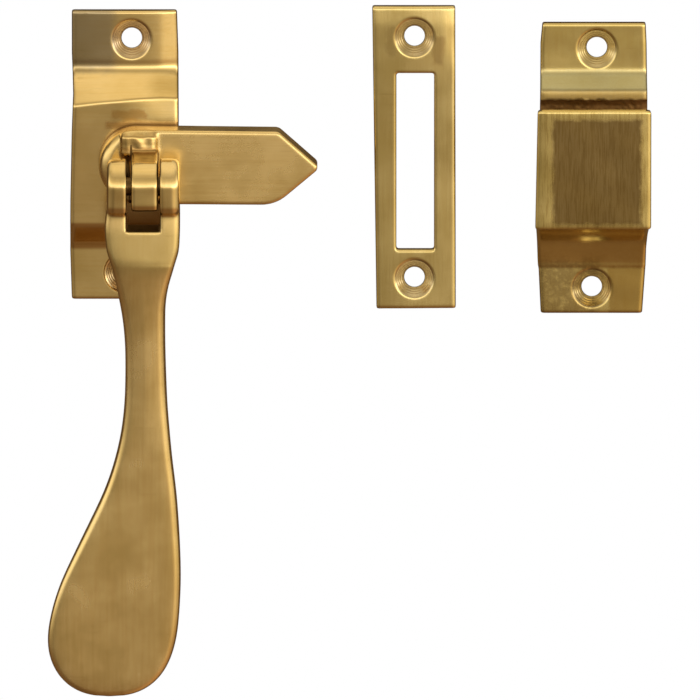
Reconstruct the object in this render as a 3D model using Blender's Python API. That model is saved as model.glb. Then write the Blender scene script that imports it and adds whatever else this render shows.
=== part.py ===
"""Casement window fastener in polished cast brass, with its mortice plate and its hook plate.

The three castings stand on one vertical plane, y = 0, and face -Y, with +Z up. The origin is on
that plane, on the axis that the tongue turns about. Heights below are measured from the plane
towards the room, so a height h lies at y = -h. Lengths are in millimetres until a mesh is made.
"""

import math

import bpy
import numpy as np
from mathutils import Matrix, Vector

MM = 0.001

# back plate, screwed to the sash
BACK_X = (-13.8, 8.8)
BACK_Z = (-30.4, 31.0)
BACK_LOW_X = 5.6
TAB = 3.0
PLATFORM = 9.0
PLATFORM_Z = (-13.6, 13.2)
BACK_HOLES = ((-1.0, 25.0), (-2.55, -24.7))
POCKET_X = (-7.5, 6.5)
POCKET_Z = (-11.0, 11.0)
POCKET_DEPTH = 5.6

# ramps between the levels of a plate: a hollow at the foot, then a straight slope
RAMP_SLOPE = 1.2
BACK_HOLLOW = 2.0
HOOK_HOLLOW = 1.0

# No. 8 countersunk wood screws
SCREW_HOLE_R = 2.15
SCREW_HEAD_R = 4.1

# tongue and its lug
TONGUE_BACK = 9.3
TONGUE_FRONT = 16.5
TONGUE_HALF = 7.9
TONGUE_TOP_CORNER = (29.9, 7.55, 2.0)
TONGUE_TIP = (38.6, -0.15, 1.1)
TONGUE_LOW_CORNER = (29.2, -8.05, 8.0)
HUMP_X = (-3.3, 4.5)
HUMP_TOP = 17.9
HUMP_CLEAR_R = 7.6
KNUCKLE_X = (-1.0, 4.6)
KNUCKLE_R = 5.4
KNUCKLE_FRONT = 28.05
KNUCKLE_LOW_Z = -7.6

# spindle that the tongue turns on, with its washers
SPINDLE_R = 4.0
SPINDLE_NECK_R = 3.0
RUNNING_GAP = 0.12
SOCKET_DEPTH = 3.6
WASHER_R = 5.9
WASHER_T = 1.0
SPRING_T = 0.4
SPRING_WAVE = 0.22

# knuckle pin
PIN_Z = -3.0
PIN_H = 22.7
PIN_R = 2.0

# handle: fork, shoulder and spoon
FORK_X = (-6.15, 9.2)
FORK_R = 5.9
CHEEK_FRONT = 28.45
CHEEK_LOW_Z = -8.4
SLOT_X = (-2.0, 5.05)
SLOT_DEPTH = 8.8
HANDLE_LENGTH = 108.3
SPOON_ROUND_FROM = 92.5
SPOON_ROUNDNESS = 2.4
# distance below the pin, centre line, half width, front height, back height, squareness
HANDLE_STATIONS = (
    (2.5, 1.50, 7.60, 27.0, 17.0, 9.0),
    (5.6, 1.42, 7.80, 27.05, 16.9, 9.0),
    (8.4, 1.32, 7.90, 27.15, 17.7, 8.0),
    (12.4, 1.40, 7.65, 27.7, 19.8, 6.0),
    (16.8, 1.47, 6.45, 27.6, 20.9, 4.5),
    (22.4, 1.30, 5.05, 27.3, 21.1, 4.0),
    (28.0, 1.68, 4.42, 27.1, 21.15, 3.8),
    (34.0, 1.93, 4.20, 26.95, 21.2, 3.6),
    (44.0, 2.05, 4.40, 26.75, 21.4, 3.6),
    (50.0, 2.00, 4.86, 26.7, 21.6, 3.6),
    (57.0, 1.62, 5.87, 26.6, 21.9, 3.6),
    (64.0, 0.91, 7.44, 26.5, 22.2, 3.6),
    (71.0, -0.45, 9.35, 26.45, 22.5, 3.6),
    (78.0, -1.95, 11.20, 26.4, 22.8, 3.6),
    (85.0, -3.50, 12.80, 26.3, 22.95, 3.6),
    (92.5, -4.75, 13.58, 26.15, 23.05, 3.6),
    (100.0, -5.50, 13.65, 26.0, 23.1, 3.6),
    (108.3, -5.70, 13.60, 25.8, 23.2, 3.6),
)

# mortice plate, let into the edge of the frame
MORTICE_CORNERS = ((50.4, -32.5), (67.1, -32.4), (66.95, 31.9), (49.5, 31.9))
MORTICE_T = 3.0
MORTICE_SLOT_X = (54.6, 62.5)
MORTICE_SLOT_Z = (-19.9, 17.75)
MORTICE_HOLES = ((58.4, 25.4), (58.4, -26.0))

# hook plate, screwed to the face of the frame
HOOK_TAB_X = (84.9, 107.2)
HOOK_FLARE = 0.9
HOOK_Z = (-33.4, 28.35)
HOOK_CREST = 6.6
HOOK_CREST_Z = 12.45
HOOK_RAMP_Z = 14.8
HOOK_FLOOR = 6.0
HOOK_ROOF_UNDER = 15.4
HOOK_ROOF = 18.0
HOOK_ROOF_Z = (-13.05, 12.2)
HOOK_WALL_Z = -10.1
HOOK_RAMP_END_Z = -24.0
HOOK_HOLES = ((96.7, 23.0), (95.7, -28.0))
HOOK_POCKET_DEPTH = 3.8

BRASS = (0.80, 0.58, 0.25, 1.0)
BRIGHT_BRASS = (0.84, 0.63, 0.30, 1.0)
PIN_BRASS = (0.72, 0.52, 0.24, 1.0)
SPRING_BRONZE = (0.62, 0.40, 0.22, 1.0)


def clear_scene():
    for obj in list(bpy.data.objects):
        bpy.data.objects.remove(obj, do_unlink=True)
    for mesh in list(bpy.data.meshes):
        bpy.data.meshes.remove(mesh)


def metal(name, colour, roughness):
    material = bpy.data.materials.new(name)
    material.use_nodes = True
    shader = material.node_tree.nodes["Principled BSDF"]
    shader.inputs["Base Color"].default_value = colour
    shader.inputs["Metallic"].default_value = 1.0
    shader.inputs["Roughness"].default_value = roughness
    material.diffuse_color = colour
    return material


def solid(name, points, faces, material=None):
    """A closed mesh object from points (x, height, z) in millimetres; a cutter has no material."""
    mesh = bpy.data.meshes.new(name)
    mesh.from_pydata([(x * MM, -h * MM, z * MM) for x, h, z in points], [], faces)
    mesh.validate()
    obj = bpy.data.objects.new(name, mesh)
    bpy.context.scene.collection.objects.link(obj)
    for polygon in mesh.polygons:
        polygon.use_smooth = True
    mesh.set_sharp_from_angle(angle=math.radians(32))
    if material:
        mesh.materials.append(material)
    else:
        obj.hide_render = True
        obj.display_type = "WIRE"
    return obj


def skin(rings, name, material=None):
    """A body through closed rings of equal count, with a flat cap on each end, facing out."""
    count = len(rings[0])
    points = [point for ring in rings for point in ring]
    faces = []
    for i in range(len(rings) - 1):
        for j in range(count):
            k = (j + 1) % count
            a, b = i * count, (i + 1) * count
            faces.append((a + j, a + k, b + k, b + j))
    faces.append(tuple(range(count))[::-1])
    faces.append(tuple(range((len(rings) - 1) * count, len(rings) * count)))
    corners = np.array(points) * (1, -1, 1)
    volume = sum(
        np.dot(corners[f[0]], np.cross(corners[f[i]], corners[f[i + 1]]))
        for f in faces
        for i in range(1, len(f) - 1)
    )
    if volume < 0:
        faces = [face[::-1] for face in faces]
    return solid(name, points, faces, material)


def extrude_x(name, profile, span, material=None):
    """A profile of (z, height) points carried along X."""
    return skin([[(x, h, z) for z, h in profile] for x in span], name, material)


def extrude_y(name, outline, span, material=None):
    """An outline of (x, z) points carried from one height to another."""
    return skin([[(x, h, z) for x, z in outline] for h in span], name, material)


def turned(name, centre, profile, material=None, steps=48):
    """A closed profile of (radius, height) points turned about an axis along Y."""
    rings = []
    for radius, height in profile:
        angles = [2 * math.pi * (i + 0.5) / steps for i in range(steps)]
        rings.append(
            [
                (centre[0] + radius * math.cos(a), height, centre[1] + radius * math.sin(a))
                for a in angles
            ]
        )
    return skin(rings, name, material)


def arc(centre, radius, start, end, steps):
    """Points on an arc, in degrees from the first axis towards the second."""
    angles = np.radians(np.linspace(start, end, steps + 1))
    return [(centre[0] + radius * math.cos(a), centre[1] + radius * math.sin(a)) for a in angles]


def rounded(corners, steps=6):
    """An outline with a fillet at each (a, b, radius) corner."""
    outline = []
    for i, (a, b, radius) in enumerate(corners):
        here = np.array((a, b))
        before = np.array(corners[i - 1][:2]) - here
        after = np.array(corners[(i + 1) % len(corners)][:2]) - here
        if radius == 0:
            outline.append((a, b))
            continue
        before /= np.linalg.norm(before)
        after /= np.linalg.norm(after)
        half = math.acos(float(np.clip(np.dot(before, after), -1, 1))) / 2
        bisector = (before + after) / np.linalg.norm(before + after)
        centre = here + bisector * radius / math.sin(half)
        first = here + before * radius / math.tan(half) - centre
        last = here + after * radius / math.tan(half) - centre
        sweep = math.pi - 2 * half
        turn = math.copysign(1, first[0] * last[1] - first[1] * last[0])
        for step in range(steps + 1):
            angle = turn * sweep * step / steps
            c, s = math.cos(angle), math.sin(angle)
            outline.append(
                (
                    float(centre[0] + c * first[0] - s * first[1]),
                    float(centre[1] + s * first[0] + c * first[1]),
                )
            )
    return outline


def rectangle(span_a, span_b, radius, steps=5):
    return rounded(
        [
            (span_a[0], span_b[0], radius),
            (span_a[1], span_b[0], radius),
            (span_a[1], span_b[1], radius),
            (span_a[0], span_b[1], radius),
        ],
        steps,
    )


def bevel(obj, width, segments=2):
    modifier = obj.modifiers.new("Bevel", "BEVEL")
    modifier.width = width * MM
    modifier.segments = segments
    modifier.limit_method = "ANGLE"
    modifier.angle_limit = math.radians(35)
    modifier.use_clamp_overlap = True


def combine(obj, other, operation):
    modifier = obj.modifiers.new(other.name, "BOOLEAN")
    modifier.operation = operation
    modifier.solver = "EXACT"
    modifier.object = other


def cut(obj, *cutters):
    for cutter in cutters:
        combine(obj, cutter, "DIFFERENCE")


def hang_on_pin(obj):
    """Puts the origin of a piece that swings on the knuckle pin at the middle of the pin."""
    centre = Vector((sum(FORK_X) / 2, -PIN_H, PIN_Z)) * MM
    obj.data.transform(Matrix.Translation(-centre))
    obj.location = centre


def screw_hole(name, centre, face):
    """Cutter for a screw hole with a 90 degree countersink that opens on a face."""
    depth = SCREW_HEAD_R - SCREW_HOLE_R
    profile = [
        (SCREW_HOLE_R, -1.0),
        (SCREW_HOLE_R, face - depth),
        (SCREW_HEAD_R, face),
        (SCREW_HEAD_R, face + 2.0),
    ]
    return turned(name, centre, profile, steps=32)


def ramp(edge, way, top, hollow):
    """Points (z, height) from the edge at the top of a ramp down to its foot on a tab."""
    length = (top - TAB) / RAMP_SLOPE + hollow / 2
    points = [(edge, top)]
    for u in np.linspace(hollow, 0, 7):
        rise = RAMP_SLOPE * u * u / (2 * hollow)
        points.append((float(edge + way * (length - u)), float(TAB + rise)))
    return points


def taper_cutter():
    """Wedge that narrows the lower tab on its right side."""
    top = np.array((BACK_X[1], PLATFORM_Z[0]))
    bottom = np.array((BACK_LOW_X, BACK_Z[0]))
    reach = 0.1 * (bottom - top)
    first, last = (tuple(float(v) for v in end) for end in (top - reach, bottom + reach))
    outer = BACK_X[1] + 3.0
    outline = [first, last, (outer, last[1]), (outer, first[1])]
    return extrude_y("cut_back_taper", outline, (-1.0, PLATFORM + 1.0))


def back_plate(brass):
    low, high = PLATFORM_Z
    profile = [(BACK_Z[0], 0.0), (BACK_Z[1], 0.0), (BACK_Z[1], TAB)]
    profile += ramp(high, 1, PLATFORM, BACK_HOLLOW)[::-1]
    profile += ramp(low, -1, PLATFORM, BACK_HOLLOW)
    profile += [(BACK_Z[0], TAB)]
    plate = extrude_x("back_plate", profile, BACK_X, brass)
    bevel(plate, 0.3)
    cut(
        plate,
        taper_cutter(),
        extrude_y("cut_back_pocket", rectangle(POCKET_X, POCKET_Z, 2.0), (-1.0, POCKET_DEPTH)),
        turned(
            "cut_spindle_hole",
            (0, 0),
            [(SPINDLE_R + RUNNING_GAP, POCKET_DEPTH - 1), (SPINDLE_R + RUNNING_GAP, PLATFORM + 1)],
        ),
    )
    for i, centre in enumerate(BACK_HOLES):
        cut(plate, screw_hole(f"cut_back_screw_{i}", centre, TAB))
    return plate


def tongue(brass):
    outline = arc((0, 0), TONGUE_HALF, 90, 270, 24)
    corners = rounded(
        [
            (0.0, -TONGUE_HALF, 0),
            TONGUE_LOW_CORNER,
            TONGUE_TIP,
            TONGUE_TOP_CORNER,
            (0.0, TONGUE_HALF, 0),
        ],
        8,
    )
    outline += corners[1:-1]
    bar = extrude_y("tongue", outline, (TONGUE_BACK, TONGUE_FRONT), brass)
    bevel(bar, 0.4)
    pin = (PIN_Z, PIN_H)
    rise = TONGUE_FRONT - 0.8
    low_angle = -math.degrees(math.asin((PIN_H - rise) / HUMP_CLEAR_R))
    top_angle = -math.degrees(math.asin((PIN_H - HUMP_TOP) / HUMP_CLEAR_R))
    hump = [(TONGUE_HALF - 0.3, rise), (TONGUE_HALF - 0.3, TONGUE_FRONT + 0.1)]
    hump += [(TONGUE_HALF - 1.3, TONGUE_FRONT + 1.1), (TONGUE_HALF - 3.0, HUMP_TOP - 0.3)]
    hump += arc(pin, HUMP_CLEAR_R, top_angle, low_angle, 6)
    knuckle = [(PIN_Z + KNUCKLE_R + 1.6, rise)]
    knuckle += arc(pin, KNUCKLE_R, 0, 84, 14)
    knuckle += arc((KNUCKLE_LOW_Z + 1.3, KNUCKLE_FRONT - 1.3), 1.3, 90, 180, 6)
    knuckle += [(KNUCKLE_LOW_Z, TONGUE_FRONT + 1.2), (KNUCKLE_LOW_Z + 0.8, rise)]
    lug = extrude_x("join_lug", hump, HUMP_X)
    bevel(lug, 0.35)
    knuckle = extrude_x("join_knuckle", knuckle, KNUCKLE_X)
    bevel(knuckle, 0.3)
    combine(bar, lug, "UNION")
    combine(bar, knuckle, "UNION")
    socket_r = SPINDLE_R + RUNNING_GAP
    socket_top = TONGUE_BACK + SOCKET_DEPTH + 0.3
    cut(
        bar,
        turned("cut_socket", (0, 0), [(socket_r, TONGUE_BACK - 1), (socket_r, socket_top)]),
        extrude_x("cut_knuckle_bore", arc(pin, PIN_R + RUNNING_GAP, 0, 350, 35), (-9.0, 12.0)),
    )
    return bar


def pivot_spindle(brass):
    """Shouldered rivet: its thick end is fixed in the tongue, its thin end is peened over."""
    shoulder = POCKET_DEPTH - 0.2
    peened = shoulder - 2.4
    profile = [
        (2.0, peened - 1.2),
        (3.6, peened - 1.0),
        (4.5, peened - 0.3),
        (4.5, peened),
        (SPINDLE_NECK_R, peened + 0.05),
        (SPINDLE_NECK_R, shoulder),
        (SPINDLE_R - 0.3, shoulder + 0.05),
        (SPINDLE_R, shoulder + 0.35),
        (SPINDLE_R, TONGUE_BACK + SOCKET_DEPTH - 0.4),
        (SPINDLE_R - 0.4, TONGUE_BACK + SOCKET_DEPTH),
    ]
    return turned("pivot_spindle", (0, 0), profile, brass)


def retaining_washer(brass):
    top = POCKET_DEPTH - 1.35
    inner, outer = SPINDLE_NECK_R + 0.15, WASHER_R
    return washer("retaining_washer", inner, outer, lambda angle: top - WASHER_T, WASHER_T, brass)


def spring_washer(bronze):
    middle = POCKET_DEPTH - 0.75
    inner, outer = SPINDLE_NECK_R + 0.3, WASHER_R - 0.4

    def lower_face(angle):
        return middle - SPRING_T / 2 + SPRING_WAVE * math.cos(3 * angle)

    return washer("spring_washer", inner, outer, lower_face, SPRING_T, bronze)


def washer(name, inner, outer, lower_face, thickness, material, steps=60):
    """A ring with a square section whose lower face follows a function of the angle."""
    points, faces = [], []
    for i in range(steps):
        angle = 2 * math.pi * i / steps
        low = lower_face(angle)
        for radius, height in (
            (inner, low),
            (outer, low),
            (outer, low + thickness),
            (inner, low + thickness),
        ):
            points.append((radius * math.cos(angle), height, radius * math.sin(angle)))
    for i in range(steps):
        a, b = 4 * i, 4 * ((i + 1) % steps)
        for j in range(4):
            k = (j + 1) % 4
            faces.append((a + j, b + j, b + k, a + k))
    return solid(name, points, faces, material)


def curve_through(stations, distance):
    """Values between stations, on a curve with continuous slope that doesn't overshoot."""
    table = np.array(stations)
    at, values = table[:, 0], table[:, 1:]
    steps = np.diff(at)[:, None]
    slopes = np.diff(values, axis=0) / steps
    product = slopes[:-1] * slopes[1:]
    mean = np.where(product > 0, 2 * product / (slopes[:-1] + slopes[1:] + 1e-30), 0.0)
    tangents = np.vstack([slopes[:1], mean, slopes[-1:]])
    i = int(np.clip(np.searchsorted(at, distance) - 1, 0, len(at) - 2))
    t = (distance - at[i]) / steps[i, 0]
    return (
        (2 * t**3 - 3 * t**2 + 1) * values[i]
        + (t**3 - 2 * t**2 + t) * steps[i] * tangents[i]
        + (3 * t**2 - 2 * t**3) * values[i + 1]
        + (t**3 - t**2) * steps[i] * tangents[i + 1]
    )


def handle_ring(distance, count=40):
    """One cross-section of the handle: a squared ellipse, drawn in at the rounded end."""
    centre, half, front, back, squareness = curve_through(HANDLE_STATIONS, distance)
    along = max(0.0, (distance - SPOON_ROUND_FROM) / (HANDLE_LENGTH - SPOON_ROUND_FROM))
    shrink = (1 - min(along, 0.999) ** SPOON_ROUNDNESS) ** (1 / SPOON_ROUNDNESS)
    thick = (front - back) / 2 * (0.35 + 0.65 * shrink**0.4)
    middle = (front + back) / 2
    ring = []
    for i in range(count):
        angle = 2 * math.pi * (i + 0.5) / count
        c, s = math.cos(angle), math.sin(angle)
        across = math.copysign(abs(c) ** (2 / squareness), c)
        deep = math.copysign(abs(s) ** (2 / squareness), s)
        ring.append((centre + half * shrink * across, middle + thick * deep, PIN_Z - distance))
    return ring


def handle(brass):
    straight = list(np.linspace(2.5, 16.8, 11)) + list(np.linspace(19, SPOON_ROUND_FROM, 22))
    ends = [
        SPOON_ROUND_FROM + (HANDLE_LENGTH - SPOON_ROUND_FROM) * math.sin(math.radians(a))
        for a in (12, 24, 36, 47, 57, 66, 74, 81, 87)
    ]
    blade = skin([handle_ring(float(d)) for d in straight + ends], "handle", brass)
    pin = (PIN_Z, PIN_H)
    cheek = arc(pin, FORK_R, -120, 84, 30)
    cheek += arc((CHEEK_LOW_Z + 1.8, CHEEK_FRONT - 1.8), 1.8, 90, 180, 8)
    cheek += [(CHEEK_LOW_Z, PIN_H)]
    barrel = extrude_x("join_barrel", cheek, FORK_X)
    bevel(barrel, 0.9, 3)
    combine(blade, barrel, "UNION")
    slot = rounded(
        [
            (SLOT_X[0], PIN_Z - SLOT_DEPTH, 0.5),
            (SLOT_X[1], PIN_Z - SLOT_DEPTH, 0.5),
            (SLOT_X[1], PIN_Z + FORK_R + 3, 0),
            (SLOT_X[0], PIN_Z + FORK_R + 3, 0),
        ]
    )
    cut(
        blade,
        extrude_y("cut_fork_slot", slot, (PIN_H - 12, PIN_H + 12)),
        extrude_x("cut_pin_bore", arc(pin, PIN_R + RUNNING_GAP, 0, 350, 35), (-9.0, 12.0)),
    )
    hang_on_pin(blade)
    return blade


def knuckle_pin(brass):
    span = (FORK_X[0] + 0.1, FORK_X[1] - 0.1)
    pin = extrude_x("knuckle_pin", arc((PIN_Z, PIN_H), PIN_R, 0, 350, 35), span, brass)
    bevel(pin, 0.2)
    hang_on_pin(pin)
    return pin


def mortice_plate(brass):
    outline = rounded([(x, z, 0.5) for x, z in MORTICE_CORNERS])
    plate = extrude_y("mortice_plate", outline, (0.0, MORTICE_T), brass)
    bevel(plate, 0.3)
    slot = rectangle(MORTICE_SLOT_X, MORTICE_SLOT_Z, 0.6)
    cut(plate, extrude_y("cut_mortice_slot", slot, (-1.0, MORTICE_T + 1)))
    for i, centre in enumerate(MORTICE_HOLES):
        cut(plate, screw_hole(f"cut_mortice_screw_{i}", centre, MORTICE_T))
    return plate


def hook_plate(brass):
    """Tab, ramp and crest, a floor under an open-sided roof, and a deep cove to the lower tab."""
    base = [(HOOK_Z[0], 0.0), (HOOK_Z[1], 0.0), (HOOK_Z[1], TAB)]
    base += ramp(HOOK_RAMP_Z, 1, HOOK_CREST, HOOK_HOLLOW)[::-1]
    base += [
        (HOOK_CREST_Z, HOOK_CREST),
        (HOOK_CREST_Z - 0.8, HOOK_FLOOR),
        (HOOK_WALL_Z - 1.5, HOOK_FLOOR),
        (HOOK_WALL_Z - 1.5, TAB),
        (HOOK_Z[0], TAB),
    ]
    plate = extrude_x("hook_plate", base, HOOK_TAB_X, brass)
    bevel(plate, 0.3)
    low, high = HOOK_ROOF_Z
    hook = [(high, HOOK_ROOF_UNDER), (high, HOOK_ROOF), (low, HOOK_ROOF)]
    for i in range(1, 12):
        angle = math.radians(7.5 * i)
        z = HOOK_RAMP_END_Z + (low - HOOK_RAMP_END_Z) * math.cos(angle)
        hook.append((z, HOOK_ROOF - (HOOK_ROOF - TAB) * math.sin(angle)))
    hook += [(HOOK_RAMP_END_Z + 0.4, TAB - 0.8), (HOOK_WALL_Z, TAB - 0.8)]
    hook += [(HOOK_WALL_Z, HOOK_ROOF_UNDER - 1.2), (HOOK_WALL_Z + 1.2, HOOK_ROOF_UNDER)]
    middle, half = sum(HOOK_TAB_X) / 2, (HOOK_TAB_X[1] - HOOK_TAB_X[0]) / 2
    flare = HOOK_FLARE / (HOOK_ROOF - TAB)
    sides = [
        [(middle + side * (half + flare * max(0.0, h - TAB)), h, z) for z, h in hook]
        for side in (-1, 1)
    ]
    roof = skin(sides, "join_hook")
    bevel(roof, 0.3)
    combine(plate, roof, "UNION")
    pocket = rectangle((HOOK_TAB_X[0] + 4.2, HOOK_TAB_X[1] - 4.2), (-10.0, 10.5), 2.0)
    cut(plate, extrude_y("cut_hook_pocket", pocket, (-1.0, HOOK_POCKET_DEPTH)))
    for i, centre in enumerate(HOOK_HOLES):
        cut(plate, screw_hole(f"cut_hook_screw_{i}", centre, TAB))
    return plate


def main():
    clear_scene()
    back_plate(metal("back_plate_brass", BRASS, 0.22))
    tongue(metal("tongue_brass", BRIGHT_BRASS, 0.28))
    pivot_spindle(metal("spindle_brass", PIN_BRASS, 0.35))
    retaining_washer(metal("washer_brass", PIN_BRASS, 0.35))
    spring_washer(metal("spring_bronze", SPRING_BRONZE, 0.35))
    handle(metal("handle_brass", BRIGHT_BRASS, 0.25))
    knuckle_pin(metal("pin_brass", PIN_BRASS, 0.30))
    mortice_plate(metal("mortice_plate_brass", BRASS, 0.22))
    hook_plate(metal("hook_plate_brass", BRASS, 0.25))


main()
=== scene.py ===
"""Casement window fastener with its keep plates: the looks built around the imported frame.

Each casting is shaped as a signed distance field in millimetres on (x, height, z), where height is
measured from the mounting plane towards the room, and then meshed as a closed skin. Lengths are in
millimetres until a mesh is made.
"""

import itertools
import math

import bmesh
import bpy
import numpy as np
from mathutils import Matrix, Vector


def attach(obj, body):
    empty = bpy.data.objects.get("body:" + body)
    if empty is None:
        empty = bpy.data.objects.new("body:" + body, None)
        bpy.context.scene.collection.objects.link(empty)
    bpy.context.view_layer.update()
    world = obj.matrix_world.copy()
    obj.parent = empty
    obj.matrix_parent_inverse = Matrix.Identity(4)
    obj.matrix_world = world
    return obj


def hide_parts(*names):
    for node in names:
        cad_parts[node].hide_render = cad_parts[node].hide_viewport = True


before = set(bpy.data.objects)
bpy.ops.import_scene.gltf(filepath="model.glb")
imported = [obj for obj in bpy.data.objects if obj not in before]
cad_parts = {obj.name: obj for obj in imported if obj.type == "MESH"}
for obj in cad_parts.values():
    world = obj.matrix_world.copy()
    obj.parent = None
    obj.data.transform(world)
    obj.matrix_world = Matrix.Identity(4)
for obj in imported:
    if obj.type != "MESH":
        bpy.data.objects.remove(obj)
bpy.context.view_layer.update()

MM = 0.001
STEP = 0.25
GRID_SHIFT = 0.013  # keeps flat faces off the grid's own points
LONGEST_SLIDE = 0.35
CELL_CORNERS = tuple(itertools.product((0, 1), repeat=3))
ALONG_AXIS = np.eye(3, dtype=int)

# how widely two faces are blended into each other along an edge
SEAT_EDGE = 0.15
HOLE_EDGE = 0.2
POCKET_EDGE, POCKET_FLOOR_EDGE = 0.3, 0.4
SLOT_EDGE = 0.35
END_EDGE = 0.35
SIDE_EDGE = 0.7
# how far buffing has softened each piece
PLATE_BUFFING = 0.13
BACK_BUFFING = 0.14
TONGUE_BUFFING = 0.15
HANDLE_BUFFING = 0.16

# ---------------------------------------------------------------- dimensions, as in the CAD part
TAB = 3.0
PLATFORM = 9.0
BACK_X = (-13.8, 8.8)
BACK_Z = (-30.4, 31.0)
BACK_LOW_X = 5.6
PLATFORM_Z = (-13.6, 13.2)
BACK_HOLES = ((-1.0, 25.0), (-2.55, -24.7))
POCKET_X = (-7.5, 6.5)
POCKET_Z = (-11.0, 11.0)
POCKET_DEPTH = 5.6
POCKET_CORNER_R = 2.0
RAMP_SLOPE = 1.2
BACK_HOLLOW = 2.0
HOOK_HOLLOW = 1.0
SCREW_HOLE_R = 2.15
SCREW_HEAD_R = 4.1
SCREW_HEAD_ROOM = 0.25
SCREW_CONE_SLANT = 0.7071
# rows of (z, x) along the hand-finished sides
BACK_LEFT_EDGE = (
    (-30, -13.7), (-20, -14.0), (-8, -13.9), (6, -13.6), (14, -13.3), (22, -13.6), (31, -13.6),
)
BACK_RIGHT_EDGE = (
    (BACK_Z[0], BACK_LOW_X), (PLATFORM_Z[0], BACK_X[1]), (8, 8.85), (22, 8.8), (31, 8.5),
)

TONGUE_BACK = 9.3
TONGUE_FRONT = 16.5
TONGUE_HALF = 7.9
TONGUE_TOP_CORNER = (29.9, 7.55, 2.0)
TONGUE_TIP = (38.6, -0.15, 1.1)
TONGUE_LOW_CORNER = (29.2, -8.05, 8.0)
HUMP_X = (-3.3, 4.5)
HUMP_TOP = 17.9
HUMP_CLEAR_R = 7.6
KNUCKLE_X = (-1.0, 4.6)
KNUCKLE_R = 5.4
KNUCKLE_FRONT = 28.05
KNUCKLE_LOW_Z = -7.6
KNUCKLE_CORNER_R = 1.3
LUG_ROOT = TONGUE_FRONT - 0.8
SPINDLE_R = 4.0
SPINDLE_NECK_R = 3.0
RUNNING_GAP = 0.12
SOCKET_DEPTH = 3.6
WASHER_R = 5.9
WAVE_HEIGHT = 0.22
WAVES = 3

PIN_Z = -3.0
PIN_H = 22.7
PIN_R = 2.0
PIN_INSET = 0.12
FORK_X = (-6.15, 9.2)
FORK_R = 5.9
CHEEK_FRONT = 28.45
CHEEK_LOW_Z = -8.4
CHEEK_CORNER_R = 1.8
SLOT_X = (-2.0, 5.05)
SLOT_DEPTH = 8.8
HANDLE_LENGTH = 108.3
SPOON_ROUND_FROM = 92.5
SPOON_ROUNDNESS = 2.4
SHOULDER_FRONT = 27.05
SHOULDER_FROM = 5.6
SHOULDER_LEAN = 0.057
RIDGE_SLANT = 0.008
RIDGE_FROM = 13.5
RIDGE_FRONT = 27.68
NECK_AT = 38.0
NECK_SPAN = 16.0
# distance below the pin, centre line, half width, front height, back height
HANDLE_STATIONS = (
    (2.5, 1.50, 7.60, 27.0, 17.0),
    (5.6, 1.42, 7.80, 27.05, 16.9),
    (8.4, 1.32, 7.90, 27.15, 17.7),
    (12.4, 1.40, 7.65, 27.7, 19.8),
    (16.8, 1.47, 6.45, 27.6, 20.9),
    (22.4, 1.30, 5.05, 27.3, 21.1),
    (28.0, 1.68, 4.42, 27.1, 21.15),
    (34.0, 1.93, 4.20, 26.95, 21.2),
    (44.0, 2.05, 4.40, 26.75, 21.4),
    (50.0, 2.00, 4.86, 26.7, 21.6),
    (57.0, 1.62, 5.87, 26.6, 21.9),
    (64.0, 0.91, 7.44, 26.5, 22.2),
    (71.0, -0.45, 9.35, 26.45, 22.5),
    (78.0, -1.95, 11.20, 26.4, 22.8),
    (85.0, -3.50, 12.80, 26.3, 22.95),
    (92.5, -4.75, 13.58, 26.15, 23.05),
    (100.0, -5.50, 13.65, 26.0, 23.1),
    (108.3, -5.70, 13.60, 25.8, 23.2),
)

MORTICE_CORNERS = ((50.4, -32.5), (67.1, -32.4), (66.95, 31.9), (49.5, 31.9))
MORTICE_T = 3.0
MORTICE_SLOT_X = (54.6, 62.5)
MORTICE_SLOT_Z = (-19.9, 17.75)
MORTICE_HOLES = ((58.4, 25.4), (58.4, -26.0))

HOOK_TAB_X = (84.9, 107.2)
HOOK_Z = (-33.4, 28.35)
# both tabs narrow a little towards their ends
HOOK_LEFT_EDGE = (
    (-33.4, 84.95), (-24.0, 84.5), (-13.0, 84.3), (12.7, 84.8), (24.0, 84.85), (28.35, 85.25),
)
HOOK_RIGHT_EDGE = (
    (-33.4, 106.3), (-24.0, 106.95), (-13.0, 107.3), (12.7, 107.3), (24.0, 107.15), (28.35, 106.95),
)
HOOK_CREST = 6.6
HOOK_CREST_Z = 12.45
HOOK_RAMP_Z = 14.8
HOOK_FLOOR = 6.0
HOOK_ROOF_UNDER = 15.4
HOOK_ROOF = 18.0
HOOK_ROOF_Z = (-13.05, 12.2)
HOOK_WALL_Z = -10.1
HOOK_RAMP_END_Z = -24.0
HOOK_HOLES = ((96.7, 23.0), (95.7, -28.0))
HOOK_POCKET_DEPTH = 3.8
HOOK_POCKET_INSET = 4.2
HOOK_POCKET_Z = (-10.0, 10.5)


# ---------------------------------------------------------------- fields
def axes_for(low, high):
    """Grid axes in x, height and z around a box, with room to spare outside it."""
    return [
        np.arange(math.floor(a / STEP) - 5, math.ceil(b / STEP) + 6) * STEP + GRID_SHIFT
        for a, b in zip(low, high)
    ]


def spread(axes):
    return axes[0][:, None, None], axes[1][None, :, None], axes[2][None, None, :]


def smooth_min(a, b, k):
    return np.minimum(a, b) - np.maximum(k - np.abs(a - b), 0) ** 2 / (4 * k)


def smooth_max(a, b, k):
    return -smooth_min(-a, -b, k)


def slab(v, low, high):
    return np.abs(v - (low + high) / 2) - (high - low) / 2


def edge_at(z, rows):
    """Where an edge runs in x over z, from rows of (z, x)."""
    heights, places = zip(*rows)
    return np.interp(z, heights, places)[None, None, :]


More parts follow.
